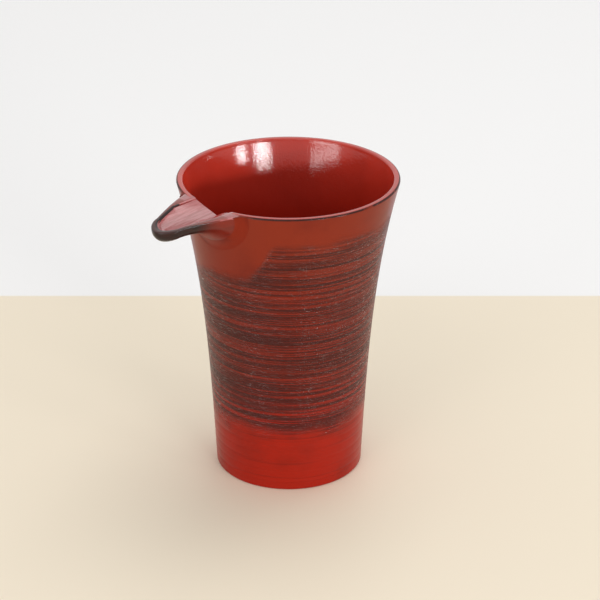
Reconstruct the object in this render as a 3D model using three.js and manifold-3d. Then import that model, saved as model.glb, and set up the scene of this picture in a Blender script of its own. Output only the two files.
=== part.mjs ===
// A tall flared lacquer pouring cup with a carved spout. Millimetres, +Z up, spout along -X.
import * as THREE from "three";
import { mergeVertices } from "three/addons/utils/BufferGeometryUtils.js";
import Module from "manifold-3d";

const wasm = await Module();
wasm.setup();
const { Manifold, Mesh } = wasm;

const RIM_Z = 117.2; // height of the rim above the table
const RIM_R = 41.6; // outer radius at the rim
const BASE_R = 28.1; // outer radius at the foot
const WALL_TOP = 2.4; // wall thickness at the rim
const WALL_LOW = 3.4; // wall thickness just above the floor
const WALL_THINS = 4; // the wall thins toward the rim with this power of the height
const FLOOR_Z = 6; // top of the inner floor
const FLOOR_ROUND = 9; // radius of the corner between floor and wall
const FLARE_STEADY = 0.42; // the share of the flare that is a straight cone
const FLARE_POWER = 3.2; // how late the rest of the flare opens toward the rim
const RECESS = 0.6; // hollow under the foot
const RING_IN_R = 22.5; // inner radius of the resting ring
const LIP_ROUND = 0.7; // rounding of the lip
const FOOT_ROUND = 0.8; // rounding of the foot edge
const TURNS = 72; // steps round the cup
const FIT = 0.3; // clearance between two pieces that are seated together

const SPOUT_TIP = 65.8; // reach of the spout from the cup axis
const NOSE_LENGTH = 6.8; // length of the round nose
const NOSE_POINT = 1.75; // 2 makes the nose an ellipse, less makes it more pointed
const ROOT_HALF = 14; // half width of the spout at the rim
const NOSE_HALF = 6.9; // half width where the nose starts
const ROOT_DEPTH = 11.9; // depth of the spout at the rim
const NOSE_DEPTH = 5.2; // depth of the spout at the nose
const SPOUT_DROP = 2.2; // how far the tip falls below the rim
const ROOT_LIP = 2.6; // width of the spout's lip at the rim
const NOSE_LIP = 1.5; // width of the lip where the nose starts
const TROUGH_HALF = 8.9; // half width of the trough at the rim
const ROOT_FULL = 1.08; // roundness of the spout's section at the rim, where 1 is an ellipse
const NOSE_FULL = 0.85; // the same at the nose, where it is boxier
const TIP_LIP = 2.8; // width of the lip at the tip
const ROOT_BED = 3.9; // depth of the trough at the rim
const NOSE_BED = 3.2; // depth of the trough at the nose
const TONGUE_HALF = 11.6; // half width of the tongue that passes through the notch
const TONGUE_DEPTH = 7; // depth of the tongue under the rim
const TROUGH_SIDE = -2; // how far the trough's bottom at the rim lies off the spout's axis
const ROOT_FLARE = 2.3; // sharpness of the trough's V at the rim, where 1 is an ellipse
const NOSE_FLARE = 1; // the same at the nose
const TONGUE_FULL = 0.8; // roundness of the tongue's section
const REACH_IN = 8; // how far the spout's forms start inside the cup's rim
const TONGUE_OUT = 4; // how far the tongue's form runs out into the spout
const NOSE_SHALLOW = 0.3; // the share of the depth that is left at the very end of the nose
const KEEL_POWER = 2.2; // how fast the keel rises from the root
const PUTTY = 1.5; // thickness of the putty fairing round the root
const SKIM = 0.01; // how far the trough's cut stands above the spout's top
const OVER = 5; // how far the cutting shapes reach above the rim

const NOSE_S = SPOUT_TIP - NOSE_LENGTH;
const LIP_SIDE = 0.8 * LIP_ROUND; // the middle point of the lip's rounding, from its flat top outward
const LIP_FALL = 0.3 * LIP_ROUND; // the same, below the rim

const flare = (z) => {
  const t = Math.min(Math.max(z / RIM_Z, 0), 1);
  return FLARE_STEADY * t + (1 - FLARE_STEADY) * t ** FLARE_POWER;
};
const outerR = (z) => BASE_R + (RIM_R - BASE_R) * flare(z);
const wallAt = (z) => WALL_LOW + (WALL_TOP - WALL_LOW) * (z / RIM_Z) ** WALL_THINS;
const innerR = (z) => outerR(z) - wallAt(z);

// A solid from an indexed mesh, without the flat triangles that a lathe leaves on its axis.
function toManifold(geometry) {
  const source = geometry.index.array;
  const index = [];
  for (let i = 0; i < source.length; i += 3) {
    const [a, b, c] = source.slice(i, i + 3);
    if (a !== b && b !== c && c !== a) index.push(a, b, c);
  }
  const vertProperties = Float32Array.from(geometry.attributes.position.array);
  const triVerts = Uint32Array.from(index);
  return new Manifold(new Mesh({ numProp: 3, vertProperties, triVerts }));
}

function toGeometry(solid) {
  const mesh = solid.getMesh();
  const geometry = new THREE.BufferGeometry();
  geometry.setAttribute("position", new THREE.BufferAttribute(Float32Array.from(mesh.vertProperties), 3));
  geometry.setIndex(new THREE.BufferAttribute(Uint32Array.from(mesh.triVerts), 1));
  geometry.computeVertexNormals();
  return geometry;
}

// A turned solid from [radius, z] points that start and end on the axis, listed from the bottom up.
function turned(points) {
  const geometry = new THREE.LatheGeometry(points.map(([r, z]) => new THREE.Vector2(r, z)), TURNS);
  geometry.rotateX(Math.PI / 2);
  geometry.deleteAttribute("normal");
  geometry.deleteAttribute("uv");
  return toManifold(mergeVertices(geometry));
}

function closed(vertices, index) {
  const geometry = new THREE.BufferGeometry();
  geometry.setAttribute("position", new THREE.Float32BufferAttribute(vertices, 3));
  geometry.setIndex(index);
  return geometry;
}

// The outside of the cup as a plug, grown by a distance and carried up to a height.
function outsidePlug(grow, top) {
  const points = [[0, -OVER], [BASE_R + grow, -OVER]];
  for (let i = 0; i <= 20; i += 1) points.push([outerR((RIM_Z * i) / 20) + grow, (RIM_Z * i) / 20]);
  points.push([RIM_R + grow, top], [0, top]);
  return turned(points);
}

// The inner surface of the cup, from the middle of the floor to under the lip.
function insideLine() {
  const line = [[0, FLOOR_Z]];
  const start = FLOOR_Z + FLOOR_ROUND;
  for (let i = 0; i <= 6; i += 1) {
    const a = (Math.PI / 2) * (i / 6);
    line.push([innerR(start) - FLOOR_ROUND * (1 - Math.sin(a)), start - FLOOR_ROUND * Math.cos(a)]);
  }
  for (let i = 1; i <= 16; i += 1) {
    const z = start + ((RIM_Z - LIP_ROUND - start) * i) / 16;
    line.push([innerR(z), z]);
  }
  return line;
}

// What the cup holds, up over the rounded inner edge of its rim.
function insidePlug() {
  const line = insideLine();
  const flat = innerR(RIM_Z) + LIP_ROUND;
  line.push([flat - LIP_SIDE, RIM_Z - LIP_FALL], [flat, RIM_Z], [flat, RIM_Z + OVER], [0, RIM_Z + OVER]);
  return turned(line);
}

function cupBody() {
  const points = [[0, RECESS], [RING_IN_R - RECESS, RECESS], [RING_IN_R, 0]];
  for (let i = 0; i <= 4; i += 1) {
    const a = (Math.PI / 2) * (i / 4);
    points.push([outerR(FOOT_ROUND) - FOOT_ROUND * (1 - Math.sin(a)), FOOT_ROUND * (1 - Math.cos(a))]);
  }
  for (let i = 1; i <= 22; i += 1) {
    const z = FOOT_ROUND + ((RIM_Z - LIP_ROUND - FOOT_ROUND) * i) / 22;
    points.push([outerR(z), z]);
  }
  const [out, inside] = [RIM_R - LIP_ROUND, innerR(RIM_Z) + LIP_ROUND];
  points.push([out + LIP_SIDE, RIM_Z - LIP_FALL], [out, RIM_Z]);
  points.push([inside, RIM_Z], [inside - LIP_SIDE, RIM_Z - LIP_FALL]);
  insideLine().reverse().forEach((point) => points.push(point));
  return turned(points).subtract(tongue(FIT));
}

// A value that runs straight from the rim to the start of the nose.
const alongSpout = (root, nose, s) => root + ((nose - root) * (s - RIM_R)) / (NOSE_S - RIM_R);
const planHalf = (s) => alongSpout(ROOT_HALF, NOSE_HALF, s);
const keelDepth = (s) => {
  const back = Math.max(0, (NOSE_S - s) / (NOSE_S - RIM_R));
  return NOSE_DEPTH + (ROOT_DEPTH - NOSE_DEPTH) * back ** KEEL_POWER;
};
const topZ = (s) => RIM_Z - SPOUT_DROP * Math.max(0, (s - RIM_R) / (SPOUT_TIP - RIM_R)) ** 2;

// A U section loft along -X. A station is [s, half width, depth, top, flare, shift of the bottom].
function uLoft(stations, steps) {
  const vertices = [];
  stations.forEach(([s, half, depth, top, power, side = 0]) => {
    for (let k = 0; k <= steps; k += 1) {
      const a = (Math.PI * k) / steps;
      const down = Math.abs(Math.sin(a)) ** power;
      const across = Math.sign(Math.cos(a)) * Math.abs(Math.cos(a)) ** power;
      vertices.push(-s, across * half + down * side, top - down * depth);
    }
  });
  const row = steps + 1;
  const index = [];
  for (let i = 0; i + 1 < stations.length; i += 1) {
    for (let k = 0; k < row; k += 1) {
      const [a, b] = [i * row + k, i * row + ((k + 1) % row)];
      index.push(a, b, a + row, b, b + row, a + row);
    }
  }
  const end = (stations.length - 1) * row;
  for (let k = 1; k + 1 < row; k += 1) {
    index.push(0, k + 1, k, end, end + k, end + k + 1);
  }
  return toManifold(closed(vertices, index));
}

function tongue(grow) {
  const half = TONGUE_HALF + grow;
  const depth = TONGUE_DEPTH + grow + OVER;
  const top = RIM_Z + OVER;
  const ends = [RIM_R - REACH_IN, RIM_R + TONGUE_OUT];
  return uLoft(ends.map((s) => [s, half, depth, top, TONGUE_FULL]), 20);
}

// How a width shrinks round the nose, from 1 where the nose starts to 0 at its end.
const noseShare = (u) => (1 - u ** NOSE_POINT) ** (1 / NOSE_POINT);
const shallow = (share) => NOSE_SHALLOW + (1 - NOSE_SHALLOW) * share;

// The outer form of the spout, grown by a distance, with a round nose.
function spoutForm(grow) {
  const start = RIM_R - REACH_IN;
  const stations = [];
  for (let i = 0; i <= 14; i += 1) {
    const s = start + ((NOSE_S - start) * i) / 14;
    const full = alongSpout(ROOT_FULL, NOSE_FULL, s);
    stations.push([s, planHalf(s) + grow, keelDepth(s) + grow, topZ(s), full]);
  }
  for (let i = 1; i <= 7; i += 1) {
    const u = Math.sin((Math.PI / 2) * (i / 7) * 0.97);
    const s = NOSE_S + (NOSE_LENGTH + grow) * u;
    const share = noseShare(u);
    stations.push([s, (NOSE_HALF + grow) * share, NOSE_DEPTH * shallow(share), topZ(s), NOSE_FULL]);
  }
  return uLoft(stations, 20);
}

// The hollow of the trough: where it is open at the top it widens no further.
function trough() {
  const start = RIM_R - REACH_IN;
  const length = NOSE_LENGTH - TIP_LIP;
  const stations = [];
  const station = (s, share) => {
    const at = Math.min(s, NOSE_S);
    const half = Math.min(TROUGH_HALF, planHalf(at) - alongSpout(ROOT_LIP, NOSE_LIP, at));
    const bed = alongSpout(ROOT_BED, NOSE_BED, at);
    const power = alongSpout(ROOT_FLARE, NOSE_FLARE, at);
    const side = alongSpout(TROUGH_SIDE, 0, at);
    stations.push([s, half * share, bed * shallow(share), topZ(s) + SKIM, power, side * share]);
  };
  for (let i = 0; i <= 12; i += 1) station(start + ((NOSE_S - start) * i) / 12, 1);
  for (let i = 1; i <= 7; i += 1) {
    const u = Math.sin((Math.PI / 2) * (i / 7) * 0.97);
    station(NOSE_S + length * u, noseShare(u));
  }
  return uLoft(stations, 20);
}

function spout() {
  const beyondWall = spoutForm(0).subtract(outsidePlug(FIT, RIM_Z + OVER));
  const cap = spoutForm(0).intersect(tongue(0)).subtract(insidePlug());
  return beyondWall.add(cap).subtract(trough());
}

function putty() {
  const band = spoutForm(PUTTY + FIT).subtract(spoutForm(FIT));
  const under = outsidePlug(PUTTY + FIT, RIM_Z - LIP_ROUND);
  return band.intersect(under).subtract(outsidePlug(FIT, RIM_Z + OVER));
}

const group = new THREE.Group();
group.name = "lacquer_spouted_bowl";

function addPiece(name, solid, colour, roughness) {
  const material = new THREE.MeshStandardMaterial({ color: colour, roughness, metalness: 0 });
  const mesh = new THREE.Mesh(toGeometry(solid), material);
  mesh.name = name;
  group.add(mesh);
}

addPiece("cup_body", cupBody(), "#8f2a18", 0.22);
addPiece("spout", spout(), "#4a1c14", 0.25);
addPiece("joint_putty", putty(), "#7a2a1b", 0.3);

export default group;
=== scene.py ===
"""A tall flared red lacquer pouring cup with a carved spout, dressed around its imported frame."""
import math

import bmesh
import bpy
from mathutils import Matrix, Vector

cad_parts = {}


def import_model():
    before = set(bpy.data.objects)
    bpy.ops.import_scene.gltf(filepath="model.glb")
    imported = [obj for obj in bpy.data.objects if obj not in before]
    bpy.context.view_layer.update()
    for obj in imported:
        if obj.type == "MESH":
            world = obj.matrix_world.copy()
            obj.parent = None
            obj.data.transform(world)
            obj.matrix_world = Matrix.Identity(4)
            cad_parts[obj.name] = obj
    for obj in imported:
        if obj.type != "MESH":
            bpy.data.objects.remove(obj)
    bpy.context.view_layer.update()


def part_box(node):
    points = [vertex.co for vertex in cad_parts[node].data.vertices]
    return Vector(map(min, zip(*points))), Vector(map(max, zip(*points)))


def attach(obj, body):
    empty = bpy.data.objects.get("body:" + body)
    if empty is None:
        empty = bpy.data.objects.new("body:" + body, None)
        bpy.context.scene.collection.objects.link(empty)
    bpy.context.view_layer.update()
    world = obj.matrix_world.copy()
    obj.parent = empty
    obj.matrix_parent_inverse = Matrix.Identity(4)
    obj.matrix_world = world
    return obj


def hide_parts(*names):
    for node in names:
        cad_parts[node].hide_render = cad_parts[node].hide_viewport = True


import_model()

MM = 0.001
cup_low, cup_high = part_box("cup_body")
spout_low, spout_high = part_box("spout")

# The cup, in millimetres, with its outer sizes from the frame
RIM_Z = cup_high[2] / MM
LIP_ROUND = 0.7
RIM_R = cup_high[1] / MM + 0.2 * LIP_ROUND
BASE_R = 28.1
WALL_TOP = 2.4
WALL_LOW = 3.4
WALL_THINS = 4
FLARE_STEADY = 0.42
FLARE_POWER = 3.2
FLOOR_Z = 6
FLOOR_ROUND = 9
RECESS = 0.6
RING_IN_R = 22.5
RING_SLOPE = 1.2
FOOT_ROUND = 0.8
TURNS = 288
WALL_STEPS = 330
LIP_STEPS = 7
MARK_WIDTH = 0.55
MARKS = ((4.6, 0.10), (8.3, 0.07), (12.4, 0.09), (16.2, 0.06), (19.8, 0.08), (24.0, 0.07), (29.2, 0.05))

# How far the cutting shapes reach past the cup, and how deep the spout's root sits in its wall
PLUG_OVER = 9
PLUG_UNDER = 4
SEAT = 1.2

# The spout, measured along its own axis from the cup's axis
SPOUT_TIP = -spout_low[0] / MM - 0.05
NOSE_LENGTH = 6.8
NOSE_S = SPOUT_TIP - NOSE_LENGTH
NOSE_POINT = 1.75
SPOUT_START = 33.0
ROOT_HALF = 14.0
NOSE_HALF = 6.9
ROOT_DEPTH = 11.9
NOSE_DEPTH = 5.2
KEEL_POWER = 2.2
ROOT_FULL = 1.08
NOSE_FULL = 0.85
ROOT_LIP = 2.6
NOSE_LIP = 1.5
TROUGH_HALF = 8.9
TIP_LIP = 2.8
ROOT_BED = 3.9
NOSE_BED = 3.2
LIP_HEIGHT = 0.8
LIP_FULL = 0.7
SKIM = 0.02
SPOUT_DROP = 2.2
TROUGH_SIDE = -2.0
ROOT_FLARE = 2.3
NOSE_FLARE = 1.0
KEEL_STEPS = 26
BED_STEPS = 22

# The tongue that holds the spout in the notch of the wall
TONGUE_HALF = 11.6
TONGUE_DEPTH = 7.0
TONGUE_FULL = 0.8
TONGUE_IN = 12
TONGUE_OUT = 4
TONGUE_OVER = 5

# The putty fairing round the spout's root
PUTTY_WALL = 1.8
PUTTY_SPOUT = 2.2
PUTTY_SKIM = 0.03
PUTTY_SUNK = -0.9
PUTTY_TOP = 0.12

# Where the finish of the spout changes, as distances from the cup's axis
TONGUE_TO = 40
LIP_FROM = 43
EDGE_FROM = 46
EDGE_INNER = -0.12
EDGE_OUTER = 0.5

# The camera stands on the spout's near side
CAMERA_AT = (-0.5310, -0.5371, 0.42083)
CAMERA_TURN = (math.radians(64.875), 0.0, math.radians(-45.0))
LENS = 132.0
FLOOR_EDGE = 0.1455


def srgb(red, green, blue):
    """A colour written as 0 to 255 values, as Blender's linear values."""
    def linear(value):
        value /= 255
        return value / 12.92 if value <= 0.04045 else ((value + 0.055) / 1.055) ** 2.4
    return linear(red), linear(green), linear(blue), 1.0


def along_spout(root, nose, s):
    """A value that runs straight from the cup's rim to the start of the nose."""
    return root + (nose - root) * (s - RIM_R) / (NOSE_S - RIM_R)


def plan_half(s):
    return along_spout(ROOT_HALF, NOSE_HALF, s)


def lip_width(s, ahead):
    """The lip's width, wider where the trough stays narrow and at the tip."""
    width = along_spout(ROOT_LIP, NOSE_LIP, s) + (TIP_LIP - NOSE_LIP) * max(0, ahead)
    return max(width, plan_half(s) - TROUGH_HALF)


def keel_depth(s):
    return NOSE_DEPTH + (ROOT_DEPTH - NOSE_DEPTH) * max(0, (NOSE_S - s) / (NOSE_S - RIM_R)) ** KEEL_POWER


def outer_r(z):
    t = min(max(z / RIM_Z, 0), 1)
    return BASE_R + (RIM_R - BASE_R) * (FLARE_STEADY * t + (1 - FLARE_STEADY) * t**FLARE_POWER)


def inner_r(z):
    return outer_r(z) - WALL_LOW - (WALL_TOP - WALL_LOW) * (z / RIM_Z) ** WALL_THINS


def new_object(name, vertices, faces):
    mesh = bpy.data.meshes.new(name)
    mesh.from_pydata([(x * MM, y * MM, z * MM) for x, y, z in vertices], [], faces)
    mesh.validate()
    piece = bpy.data.objects.new(name, mesh)
    bpy.context.scene.collection.objects.link(piece)
    return piece


def turned(name, profile):
    """A turned solid from (radius, z) points that start and end on the axis, from the bottom up."""
    ring = profile[1:-1]
    vertices = [(0, 0, profile[0][1])]
    for r, z in ring:
        for k in range(TURNS):
            a = 2 * math.pi * k / TURNS
            vertices.append((r * math.cos(a), r * math.sin(a), z))
    vertices.append((0, 0, profile[-1][1]))
    last = len(vertices) - 1

    def at(i, k):
        return 1 + i * TURNS + k % TURNS

    faces = []
    for k in range(TURNS):
        faces.append((0, at(0, k + 1), at(0, k)))
        for i in range(len(ring) - 1):
            faces.append((at(i, k), at(i, k + 1), at(i + 1, k + 1), at(i + 1, k)))
        faces.append((last, at(len(ring) - 1, k), at(len(ring) - 1, k + 1)))
    return new_object(name, vertices, faces)


def arc(centre_r, centre_z, radius, start, end, steps):
    """Points on an arc in the (radius, z) plane, with its angles in degrees."""
    points = []
    for i in range(steps + 1):
        a = math.radians(start + (end - start) * i / steps)
        points.append((centre_r + radius * math.cos(a), centre_z + radius * math.sin(a)))
    return points


def turning_mark(z):
    """Shallow grooves that the turner's tool left in the lower quarter."""
    return sum(deep * math.exp(-(((z - at) / MARK_WIDTH) ** 2)) for at, deep in MARKS)


def inside_line():
    """The cup's inner surface, from the middle of the floor to under the lip."""
    line = [(0.0, FLOOR_Z)]
    start = FLOOR_Z + FLOOR_ROUND
    line += arc(inner_r(start) - FLOOR_ROUND, start, FLOOR_ROUND, -90, 0, 16)
    steps = 120
    for i in range(1, steps + 1):
        z = start + (RIM_Z - LIP_ROUND - start) * i / steps
        line.append((inner_r(z), z))
    return line


def cup_solid():
    profile = [(0.0, RECESS), (RING_IN_R - RING_SLOPE, RECESS), (RING_IN_R, 0.0)]
    profile.append((outer_r(0) - FOOT_ROUND, 0.0))
    profile += arc(outer_r(FOOT_ROUND) - FOOT_ROUND, FOOT_ROUND, FOOT_ROUND, -80, 0, 8)
    for i in range(1, WALL_STEPS + 1):
        z = FOOT_ROUND + (RIM_Z - LIP_ROUND - FOOT_ROUND) * i / WALL_STEPS
        profile.append((outer_r(z) - turning_mark(z), z))
    below_lip = RIM_Z - LIP_ROUND
    profile += arc(outer_r(below_lip) - LIP_ROUND, below_lip, LIP_ROUND, 12, 90, LIP_STEPS)
    profile += arc(inner_r(below_lip) + LIP_ROUND, below_lip, LIP_ROUND, 90, 168, LIP_STEPS)
    profile += inside_line()[::-1]
    return turned("cup_skin", profile)


def seat_plug():
    """What lies further inside the cup's outer surface than the spout's root, up to above the rim."""
    profile = [(0.0, -PLUG_UNDER), (BASE_R - SEAT, -PLUG_UNDER)]
    steps = 60
    for i in range(steps + 1):
        z = RIM_Z * i / steps
        profile.append((outer_r(z) - SEAT, z))
    profile += [(RIM_R - SEAT, RIM_Z + PLUG_OVER), (0.0, RIM_Z + PLUG_OVER)]
    return turned("seat_tool", profile)


def inside_plug():
    """What the cup holds, up over the rounded inner edge of its rim."""
    line = inside_line()
    flat = line[-1][0] + LIP_ROUND
    line += arc(flat, RIM_Z - LIP_ROUND, LIP_ROUND, 168, 90, LIP_STEPS)
    return turned("inside_tool", line + [(flat, RIM_Z + PLUG_OVER), (0.0, RIM_Z + PLUG_OVER)])


def tongue_tool():
    """The U of wood that passes through the wall under the trough."""
    steps = 40
    outline = []
    for k in range(steps + 1):
        a = math.pi * k / steps
        y = math.copysign(abs(math.cos(a)) ** TONGUE_FULL, math.cos(a)) * TONGUE_HALF
        down = math.sin(a) ** TONGUE_FULL * (TONGUE_DEPTH + TONGUE_OVER)
        outline.append((y, RIM_Z + TONGUE_OVER - down))
    vertices = [(-s, y, z) for s in (RIM_R - TONGUE_IN, RIM_R + TONGUE_OUT) for y, z in outline]
    count = len(outline)
    faces = [tuple(range(count))[::-1], tuple(range(count, 2 * count))]
    for k in range(count):
        after = (k + 1) % count
        faces.append((k, after, count + after, count + k))
    return new_object("tongue_tool", vertices, faces)


def spout_section(s, half, ahead):
    """Half a section, from the keel out and up, over the lip and down to the trough's bottom."""
    reach = s + max(ahead, 0) * half
    top = RIM_Z - SKIM - SPOUT_DROP * max(0, (reach - RIM_R) / (SPOUT_TIP - RIM_R)) ** 2
    edge = top - LIP_HEIGHT
    lip = lip_width(s, ahead)
    full = along_spout(ROOT_FULL, NOSE_FULL, s)
    keel = keel_depth(s) - LIP_HEIGHT
    bed = along_spout(ROOT_BED, NOSE_BED, s) - LIP_HEIGHT
    points = []
    for k in range(KEEL_STEPS + 1):
        a = math.radians(90 * k / KEEL_STEPS)
        points.append((half * math.sin(a) ** full, edge - keel * math.cos(a) ** full))
    for k in range(1, 18):
        a = math.radians(180 * k / 18)
        flat = math.copysign(abs(math.cos(a)) ** LIP_FULL, math.cos(a))
        points.append((half - lip / 2 + lip / 2 * flat, edge + LIP_HEIGHT * math.sin(a) ** LIP_FULL))
    flare = along_spout(ROOT_FLARE, NOSE_FLARE, s)
    for k in range(BED_STEPS + 1):
        a = math.radians(90 - 90 * k / BED_STEPS)
        points.append(((half - lip) * math.sin(a) ** flare, edge - bed * math.cos(a) ** flare))
    return points


def spout_loft():
    """The whole carved spout, from inside the cup to the nose, before it is fitted to the wall."""
    rays = []
    straight = 52
    for i in range(straight):
        s = SPOUT_START + (NOSE_S - SPOUT_START) * i / straight
        rays.append((s, 0.0, 1.0, plan_half(s)))
    fan = 44
    for i in range(fan + 1):
        a = math.pi / 2 - math.pi * i / fan
        ahead, across = abs(math.cos(a)) / NOSE_LENGTH, abs(math.sin(a)) / NOSE_HALF
        half = (ahead**NOSE_POINT + across**NOSE_POINT) ** (-1 / NOSE_POINT)
        rays.append((NOSE_S, math.cos(a), math.sin(a), half))
    for s, ahead, across, half in rays[:straight][::-1]:
        rays.append((s, ahead, -across, half))
    vertices = []
    for s, ahead, across, half in rays:
        section = spout_section(s, half, ahead)
        bed = section[-1][1]
        edge = section[-BED_STEPS - 1][1]
        for k, (rho, z) in enumerate(section):
            sunk = (edge - z) / (edge - bed) if k >= len(section) - BED_STEPS else 0
            side = along_spout(TROUGH_SIDE, 0, s) * sunk
            vertices.append((-(s + ahead * rho), across * rho + side, z))
    row = len(spout_section(SPOUT_START, ROOT_HALF, 0))
    faces = []
    for i in range(len(rays) - 1):
        for k in range(row - 1):
            a, b = i * row + k, i * row + k + 1
            faces.append((a, b, b + row, a + row))
    end = (len(rays) - 1) * row
    faces.append(tuple(range(row))[::-1] + tuple(range(end + 1, end + row - 1)))
    return new_object("spout_skin", vertices, faces)


def weld(piece):
    """Joins points that lie together and turns the faces outward."""
    work = bmesh.new()
    work.from_mesh(piece.data)
    bmesh.ops.remove_doubles(work, verts=work.verts, dist=0.002 * MM)
    bmesh.ops.dissolve_degenerate(work, dist=0.001 * MM, edges=work.edges)
    bmesh.ops.recalc_face_normals(work, faces=work.faces)
    work.to_mesh(piece.data)
    work.free()


def cut(piece, tool):
    modifier = piece.modifiers.new("cut", "BOOLEAN")
    modifier.operation = "DIFFERENCE"
    modifier.object = tool
    modifier.solver = "EXACT"
    graph = bpy.context.evaluated_depsgraph_get()
    mesh = bpy.data.meshes.new_from_object(piece.evaluated_get(graph))
    piece.modifiers.clear()
    piece.data = mesh


def smooth(piece, degrees):
    """Smooth shading, with the sharp edges kept."""
    mesh = piece.data
    mesh.shade_smooth()
    mesh.set_sharp_from_angle(angle=math.radians(degrees))


def make_pieces():
    cup = cup_solid()
    spout = spout_loft()
    tongue = tongue_tool()
    inside = inside_plug()
    seat = seat_plug()
    for piece in (cup, spout, tongue, inside, seat):
        weld(piece)
    cut(cup, tongue)
    cut(seat, tongue)
    cut(spout, seat)
    cut(spout, inside)
    for tool in (tongue, inside, seat):
        bpy.data.objects.remove(tool)
    smooth(cup, 35)
    smooth(spout, 40)
    return cup, spout


def root_corner(grow, inset, turn, z_top):
    """Where the grown spout side meets the cup's wall with an inset, at one turn of its U."""
    s = RIM_R
    for _ in range(12):
        full = along_spout(ROOT_FULL, NOSE_FULL, s)
        y = math.copysign(abs(math.cos(turn)) ** full, math.cos(turn)) * (plan_half(s) + grow)
        z = z_top - math.sin(turn) ** full * (keel_depth(s) + grow - RIM_Z + z_top)
        s = math.sqrt((outer_r(z) + inset) ** 2 - y * y)
    return Vector((-s, y, z))


def putty_section(turn, z_top):
    """A concave fillet across the corner of wall and spout, with a root sunk behind it."""
    across = 10
    near_wall = root_corner(PUTTY_WALL, PUTTY_SKIM, turn, z_top)
    corner = root_corner(PUTTY_SKIM, PUTTY_SKIM, turn, z_top)
    on_spout = root_corner(PUTTY_SKIM, PUTTY_SPOUT, turn, z_top)
    section = []
    for i in range(across + 1):
        t = i / across
        section.append(near_wall * (1 - t) ** 2 + corner * 2 * t * (1 - t) + on_spout * t * t)
    section.append(root_corner(PUTTY_SUNK, PUTTY_SUNK, turn, z_top))
    return section


def putty_bead():
    """The fairing round the spout's root, from the rim down one side and up the other."""
    steps = 90
    rise = 6
    heights = [RIM_Z - PUTTY_TOP - (LIP_HEIGHT - PUTTY_TOP) * i / rise for i in range(rise)]
    rows = [putty_section(0.0, z) for z in heights]
    rows += [putty_section(math.pi * k / steps, RIM_Z - LIP_HEIGHT) for k in range(steps + 1)]
    rows += [putty_section(math.pi, z) for z in heights[::-1]]
    width = len(rows[0])
    vertices = [tuple(point) for row in rows for point in row]
    faces = []
    for i in range(len(rows) - 1):
        for j in range(width):
            a, b = i * width + j, i * width + (j + 1) % width
            faces.append((a, b, b + width, a + width))
    end = (len(rows) - 1) * width
    faces.append(tuple(range(width))[::-1])
    faces.append(tuple(range(end, end + width)))
    bead = new_object("putty_fairing", vertices, faces)
    weld(bead)
    smooth(bead, 50)
    return bead


class Nodes:
    """Short names for the nodes that the materials are made of."""

    def __init__(self, name):
        self.material = bpy.data.materials.new(name)
        self.material.use_nodes = True
        self.tree = self.material.node_tree
        self.shader = self.tree.nodes["Principled BSDF"]
        self.position = self.tree.nodes.new("ShaderNodeNewGeometry").outputs["Position"]
        self.x, self.y, self.z = self.split(self.position)

    def link(self, value, socket):
        if hasattr(value, "is_output"):
            self.tree.links.new(value, socket)
        else:
            socket.default_value = value

    def split(self, vector):
        node = self.tree.nodes.new("ShaderNodeSeparateXYZ")
        self.link(vector, node.inputs[0])
        return node.outputs

    def math(self, operation, *values):
        node = self.tree.nodes.new("ShaderNodeMath")
        node.operation = operation
        for value, socket in zip(values, node.inputs):
            self.link(value, socket)
        return node.outputs[0]

    def stretched(self, factors):
        """The place on the surface, scaled along x, y and z."""
        node = self.tree.nodes.new("ShaderNodeVectorMath")
        node.operation = "MULTIPLY"
        self.link(self.position, node.inputs[0])
        node.inputs[1].default_value = factors
        return node.outputs[0]

    def scaled(self, across, up):
        """The same, with one scale across and one up, so that noise stretches round the cup."""
        return self.stretched((across, across, up))

    def noise(self, vector, detail=3.0, rough=0.55):
        node = self.tree.nodes.new("ShaderNodeTexNoise")
        self.link(vector, node.inputs["Vector"])
        node.inputs["Scale"].default_value = 1.0
        node.inputs["Detail"].default_value = detail
        node.inputs["Roughness"].default_value = rough
        return node.outputs["Fac"]

    def step(self, value, low, high):
        """0 below low, 1 above high, smooth between; low may be above high."""
        node = self.tree.nodes.new("ShaderNodeMapRange")
        node.interpolation_type = "SMOOTHSTEP"
        self.link(value, node.inputs["Value"])
        self.link(low, node.inputs["From Min"])
        self.link(high, node.inputs["From Max"])
        return node.outputs["Result"]

    def mix(self, factor, first, second):
        node = self.tree.nodes.new("ShaderNodeMix")
        node.data_type = "RGBA"
        self.link(factor, node.inputs["Factor"])
        self.link(first, node.inputs[6])
        self.link(second, node.inputs[7])
        return node.outputs[2]

    def bump(self, height, distance):
        node = self.tree.nodes.new("ShaderNodeBump")
        node.inputs["Distance"].default_value = distance
        self.link(height, node.inputs["Height"])
        self.link(node.outputs[0], self.shader.inputs["Normal"])
        self.link(node.outputs[0], self.shader.inputs["Coat Normal"])

    def finish(self, colour, roughness, coat=None, coat_roughness=0.09):
        """Sets the shader; a coat of None leaves the coat that a pattern already drives."""
        self.link(colour, self.shader.inputs["Base Color"])
        self.link(roughness, self.shader.inputs["Roughness"])
        if coat is not None:
            self.shader.inputs["Coat Weight"].default_value = coat
        self.shader.inputs["Coat Roughness"].default_value = coat_roughness
        self.shader.inputs["Specular IOR Level"].default_value = 0.08
        return self.material


def toward(n, degrees):
    """How far a point on the cup faces one way round its axis: 1 straight on, 0 from the side."""
    turn = math.radians(degrees)
    x_part, y_part = n.math("MULTIPLY", n.x, math.cos(turn)), n.math("MULTIPLY", n.y, math.sin(turn))
    return n.math("DIVIDE", n.math("ADD", x_part, y_part), n.math("SQRT", radius_squared(n)))


def radius_squared(n):
    return n.math("ADD", n.math("MULTIPLY", n.x, n.x), n.math("MULTIPLY", n.y, n.y))


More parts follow.
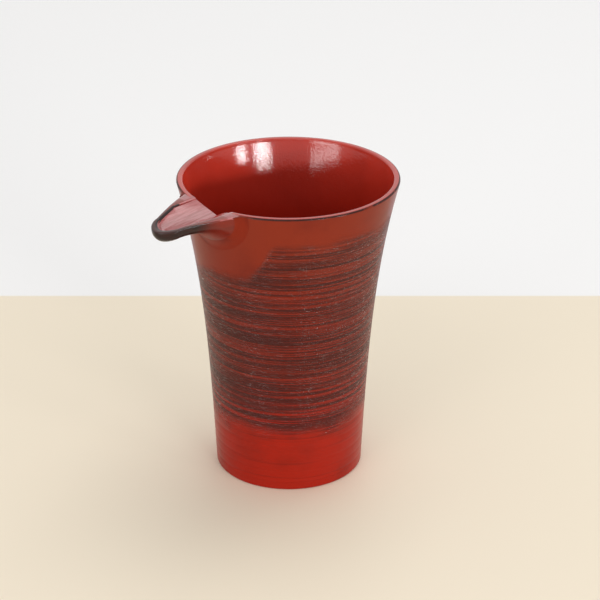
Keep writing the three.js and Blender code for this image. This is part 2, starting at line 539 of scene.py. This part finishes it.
def streak_band(n):
    """1 where the brush went: from above the foot to under the rim, lower beneath the spout."""
    cloud = n.noise(n.scaled(45, 45), 2)
    low_edge = n.math("ADD", 0.015, n.math("MULTIPLY", cloud, 0.018))
    high_edge = n.math("ADD", 0.1015, n.math("MULTIPLY", cloud, 0.012))
    under_spout = n.step(toward(n, 170), 0.66, 0.88)
    high_edge = n.math("SUBTRACT", high_edge, n.math("MULTIPLY", under_spout, 0.018))
    in_front = n.step(toward(n, -45), 0.35, 1.0)
    high_edge = n.math("SUBTRACT", high_edge, n.math("MULTIPLY", in_front, 0.002))
    above = n.step(n.math("SUBTRACT", n.z, low_edge), -0.003, 0.006)
    below = n.step(n.math("SUBTRACT", high_edge, n.z), -0.001, 0.005)
    return n.math("MULTIPLY", above, below)


def streak_darkness(n, fine, band):
    """How dark the brush left each place, from hairlines, middle streaks and broad ones."""
    middle = n.noise(n.scaled(12, 1000), 2, 0.5)
    broad = n.noise(n.scaled(16, 120), 2, 0.5)
    hairlines = n.math("ADD", n.math("MULTIPLY", fine, 0.64), n.math("MULTIPLY", middle, 0.28))
    streak = n.math("ADD", hairlines, n.math("MULTIPLY", broad, 0.08))
    return n.math("MULTIPLY", n.step(streak, 0.43, 0.55), band)


def body_red(n, patch):
    """The red lacquer: bright at the foot, partly painted light standing in for light bounced up from the
    floor, browner higher up, with cloudy patches and rings.
    """
    # Painted light: the brighter red low on the foot is the plain red lacquer made lighter for floor-bounce
    # light.
    red = n.mix(n.step(n.z, 0.018, 0.055), srgb(152, 26, 9), srgb(120, 32, 15))
    red = n.mix(n.step(n.z, 0.070, 0.108), red, srgb(124, 38, 17))
    red = n.mix(n.math("MULTIPLY", n.step(patch, 0.42, 0.72), 0.35), red, srgb(92, 22, 12))
    ring = n.math("MULTIPLY", n.step(n.noise(n.scaled(9, 700), 2), 0.55, 0.68), 0.45)
    return n.mix(n.math("MULTIPLY", ring, n.step(n.z, 0.05, 0.03)), red, srgb(92, 18, 10))


def rim_line(n):
    """The worn black line round the outer edge of the rim, which stops at the spout."""
    at_rim = n.step(n.z, (RIM_Z - 0.8) * MM, (RIM_Z - 0.4) * MM)
    outer = n.step(radius_squared(n), ((RIM_R - 0.8) * MM) ** 2, ((RIM_R - 0.45) * MM) ** 2)
    ragged = n.step(n.noise(n.scaled(160, 160), 3), 0.3, 0.45)
    away_from_spout = n.step(toward(n, 180), 0.93, 0.87)
    return n.math("MULTIPLY", n.math("MULTIPLY", at_rim, outer), n.math("MULTIPLY", ragged, away_from_spout))


def body_material():
    n = Nodes("red_lacquer")
    band = streak_band(n)
    fine = n.noise(n.scaled(14, 2300), 3, 0.6)
    dark = streak_darkness(n, fine, band)
    patch = n.noise(n.scaled(60, 60), 4)
    colour = n.mix(n.math("MULTIPLY", dark, 0.85), body_red(n, patch), srgb(54, 19, 14))
    speck = n.step(n.noise(n.scaled(420, 420), 1), 0.79, 0.83)
    colour = n.mix(n.math("MULTIPLY", speck, 0.75), colour, srgb(40, 14, 12))
    colour = n.mix(n.math("MULTIPLY", rim_line(n), 0.92), colour, srgb(38, 15, 12))
    grit = n.noise(n.scaled(420, 2200), 2, 0.6)
    rough = n.math("ADD", n.math("MULTIPLY", fine, 0.6), n.math("MULTIPLY", grit, 0.4))
    n.bump(n.math("ADD", n.math("MULTIPLY", rough, band), n.math("MULTIPLY", patch, 0.1)), 0.0011)
    glints = n.math("MULTIPLY", n.step(grit, 0.58, 0.66), band)
    coat = n.math("ADD", n.math("MULTIPLY", glints, 0.8), 0.2)
    n.link(coat, n.shader.inputs["Coat Weight"])
    return n.finish(colour, 0.34)


def inside_material():
    n = Nodes("red_inside")
    cloud = n.noise(n.scaled(30, 30), 3)
    # Painted light: the upper inner wall, from 82 mm up, is painted lighter for the light that reaches it
    # near the rim.
    high = n.mix(n.step(n.z, 0.082, 0.112), srgb(158, 34, 20), srgb(188, 50, 34))
    colour = n.mix(n.math("MULTIPLY", n.step(cloud, 0.4, 0.7), 0.35), high, srgb(136, 28, 17))
    peel = n.noise(n.scaled(1300, 1300), 2)
    n.bump(peel, 0.00005)
    return n.finish(colour, 0.3, 0.85, 0.045)


def spout_material():
    n = Nodes("dark_spout")
    grain = n.noise(n.scaled(60, 400), 3)
    cloud = n.math("MULTIPLY", n.noise(n.scaled(110, 110), 3), 0.006)
    toward_tip = n.step(n.math("ADD", n.x, cloud), -0.0425, -0.051)
    outside = n.mix(toward_tip, srgb(116, 28, 14), srgb(28, 14, 13))
    outside = n.mix(n.math("MULTIPLY", n.step(grain, 0.45, 0.65), 0.3), outside, srgb(74, 24, 17))
    n.bump(grain, 0.00004)
    return n.finish(outside, 0.28, 0.55)


def edge_material():
    n = Nodes("black_edge")
    worn = n.step(n.noise(n.scaled(300, 300), 3), 0.55, 0.75)
    toward_tip = n.step(n.x, -0.042, -0.047)
    black = n.mix(n.math("MULTIPLY", worn, 0.4), srgb(26, 12, 11), srgb(84, 32, 25))
    colour = n.mix(toward_tip, srgb(140, 48, 34), black)
    n.bump(worn, 0.00002)
    return n.finish(colour, 0.3, 0.5)


def lip_material():
    n = Nodes("spout_lip")
    worn = n.noise(n.scaled(200, 200), 3)
    toward_tip = n.step(n.x, -0.044, -0.062)
    colour = n.mix(toward_tip, srgb(138, 52, 40), srgb(66, 32, 27))
    colour = n.mix(n.math("MULTIPLY", n.step(worn, 0.5, 0.7), 0.35), colour, srgb(54, 24, 21))
    n.bump(worn, 0.00003)
    return n.finish(colour, 0.3, 0.7)


def trough_material():
    n = Nodes("red_trough_painted_sheen")
    grain = n.noise(n.stretched((90, 1300, 900)), 3)
    # Painted reflection: the pink of both colours and the lighter bands that the grain noise draws stand for
    # the bright room reflected in the trough's red lacquer.
    colour = n.mix(n.step(grain, 0.35, 0.7), srgb(176, 92, 92), srgb(150, 60, 56))
    n.bump(grain, 0.00008)
    return n.finish(colour, 0.22, 1.0)


def putty_material():
    n = Nodes("putty_lacquer")
    patch = n.noise(n.scaled(90, 90), 3)
    colour = n.mix(n.step(patch, 0.35, 0.7), srgb(122, 34, 14), srgb(96, 24, 12))
    n.bump(patch, 0.00005)
    return n.finish(colour, 0.5, 0.08)


def paint_faces(piece, choose):
    for face in piece.data.polygons:
        face.material_index = choose(face.center / MM, face.normal)


def cup_face(centre, _normal):
    """0 outside and under the foot, 1 inside and on the flat of the rim."""
    radius = math.hypot(centre.x, centre.y)
    if centre.z < FLOOR_Z - 1:
        return 0
    if centre.z > RIM_Z - 0.5 and radius < RIM_R - 0.8:
        return 1
    return 1 if radius < inner_r(centre.z) + 0.35 else 0


def spout_face(centre, normal):
    """0 outside, 1 in the trough, 2 on the lip's inner edge, 3 on the rest of the lip."""
    s, y = -centre.x, abs(centre.y)
    ahead = max(0, s - NOSE_S)
    reach = math.hypot(y, ahead)
    half = plan_half(min(s, NOSE_S))
    lip = lip_width(min(s, NOSE_S), ahead / NOSE_LENGTH)
    if s > NOSE_S:
        across = y / reach / NOSE_HALF
        half = ((ahead / reach / NOSE_LENGTH) ** NOSE_POINT + across**NOSE_POINT) ** (-1 / NOSE_POINT)
    if centre.z < RIM_Z - 5.5 or normal.z < -0.1:
        return 0
    over = reach - (half - lip)
    if s > EDGE_FROM and EDGE_INNER < over < EDGE_OUTER and normal.z > 0.1:
        return 2
    if s > LIP_FROM and over >= EDGE_OUTER and normal.z > 0.72:
        return 3
    if s < EDGE_FROM:
        return 1 if normal.z > 0.3 or s < TONGUE_TO else 0
    return 1 if over < 0 else 0


def dress(cup, spout, putty):
    spout_materials = (spout_material(), trough_material(), edge_material(), lip_material())
    for piece, node, slot, materials in (
        (cup, "cup_body", "red_lacquer_body", (body_material(), inside_material())),
        (spout, "spout", "dark_lacquer_spout", spout_materials),
        (putty, "joint_putty", "lacquered_putty", (putty_material(),)),
    ):
        piece.data.materials.clear()
        for material in materials:
            piece.data.materials.append(material)
        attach(piece, "root")
        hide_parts(node)
    paint_faces(cup, cup_face)
    paint_faces(spout, spout_face)


def floor():
    size = 3.0
    corners = [(-size, -size, 0), (size, -size, 0), (size, size, 0), (-size, size, 0)]
    mesh = bpy.data.meshes.new("floor")
    mesh.from_pydata(corners, [], [(0, 1, 2, 3)])
    piece = bpy.data.objects.new("floor", mesh)
    bpy.context.scene.collection.objects.link(piece)
    n = Nodes("floor")
    behind = n.math("MULTIPLY", n.math("ADD", n.x, n.y), math.sqrt(0.5))
    far = n.step(behind, FLOOR_EDGE, FLOOR_EDGE + 0.002)
    colour = n.mix(far, srgb(246, 233, 210), srgb(252, 251, 250))
    n.link(colour, n.shader.inputs["Base Color"])
    n.shader.inputs["Roughness"].default_value = 0.6
    mesh.materials.append(n.material)


def world():
    scene = bpy.context.scene
    scene.world = bpy.data.worlds.new("studio")
    scene.world.use_nodes = True
    tree = scene.world.node_tree
    background = tree.nodes["Background"]
    path = tree.nodes.new("ShaderNodeLightPath")
    seen = tree.nodes.new("ShaderNodeMath")
    seen.operation = "MAXIMUM"
    tree.links.new(path.outputs["Is Camera Ray"], seen.inputs[0])
    tree.links.new(path.outputs["Is Glossy Ray"], seen.inputs[1])
    both = tree.nodes.new("ShaderNodeMath")
    both.operation = "MAXIMUM"
    tree.links.new(seen.outputs[0], both.inputs[0])
    tree.links.new(path.outputs["Is Transmission Ray"], both.inputs[1])
    level = tree.nodes.new("ShaderNodeMapRange")
    level.inputs["To Min"].default_value = 0.55
    level.inputs["To Max"].default_value = 0.97
    tree.links.new(both.outputs[0], level.inputs["Value"])
    tree.links.new(level.outputs[0], background.inputs["Strength"])
    background.inputs["Color"].default_value = (1, 1, 1, 1)


def lamp(name, bearing, height, distance, size, watts):
    """A square soft light aimed at the cup; its bearing is counted from the camera, right positive."""
    turn = math.radians(-135 + bearing)
    data = bpy.data.lights.new(name, "AREA")
    data.shape = "RECTANGLE"
    data.size, data.size_y = size
    data.energy = watts
    piece = bpy.data.objects.new(name, data)
    at = Vector((distance * math.cos(turn), distance * math.sin(turn), height))
    aim = Vector((0, 0, 0.09)) - at
    piece.matrix_world = Matrix.Translation(at) @ aim.to_track_quat("-Z", "Y").to_matrix().to_4x4()
    bpy.context.scene.collection.objects.link(piece)


def lights():
    lamp("window_right", 30, 0.42, 1.9, (0.60, 0.09), 11)
    lamp("window_far_right", 54, 0.32, 1.9, (0.34, 0.08), 6)
    lamp("window_side", 97, 0.19, 1.9, (0.22, 0.08), 0.6)
    lamp("window_left", -42, 0.26, 1.9, (1.1, 0.36), 9)
    lamp("ceiling", 150, 1.8, 0.7, (1.2, 1.2), 10)
    lamp("front", -20, 1.5, 1.6, (1.0, 0.8), 4)


def camera():
    data = bpy.data.cameras.new("camera")
    data.lens = LENS
    data.sensor_width = 36
    data.clip_start = 0.01
    piece = bpy.data.objects.new("camera", data)
    piece.location = CAMERA_AT
    piece.rotation_euler = CAMERA_TURN
    bpy.context.scene.collection.objects.link(piece)
    bpy.context.scene.camera = piece


camera()
cup_piece, spout_piece = make_pieces()
dress(cup_piece, spout_piece, putty_bead())
floor()
world()
lights()
bpy.context.scene.view_settings.view_transform = "Standard"
